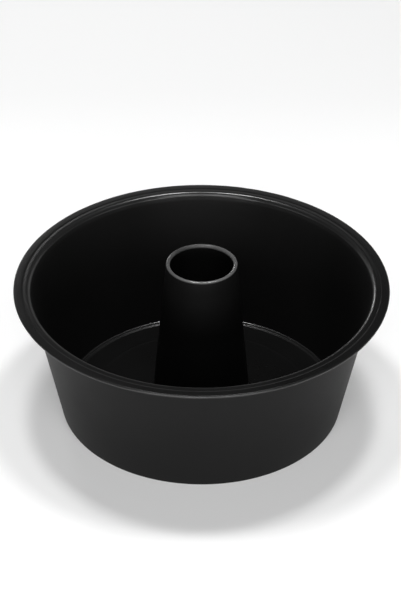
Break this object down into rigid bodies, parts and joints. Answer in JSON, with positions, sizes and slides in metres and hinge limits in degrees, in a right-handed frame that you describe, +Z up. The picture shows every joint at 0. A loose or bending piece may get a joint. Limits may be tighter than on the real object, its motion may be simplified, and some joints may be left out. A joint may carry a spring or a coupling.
{
  "type": "angel food cake pan",
  "caption": "Round tapered cake pan with a wide flat rim and a loose base that carries a tall open centre tube.",
  "frame": {"origin": "centre of the foot, on the surface that the pan stands on", "axes": "+Z up along the axis of the pan and its tube; the pan is round, so X and Y are free"},
  "size_m": [0.272, 0.272, 0.1215],
  "materials": {
    "pan_coating": "satin black non-stick on pressed aluminium sheet",
    "base_coating": "satin black non-stick on pressed aluminium sheet",
    "tube_coating": "satin black non-stick on pressed aluminium sheet"
  },
  "bodies": {
    "shell": {"pan_shell": "pan_coating"},
    "loose_base": {"base_plate": "base_coating", "centre_tube": "tube_coating"}
  },
  "joints": [
    {"name": "lift_out", "type": "slide", "parent": "shell", "child": "loose_base", "axis": [0, 0, 1], "range_m": [0, 0.11]}
  ]
}
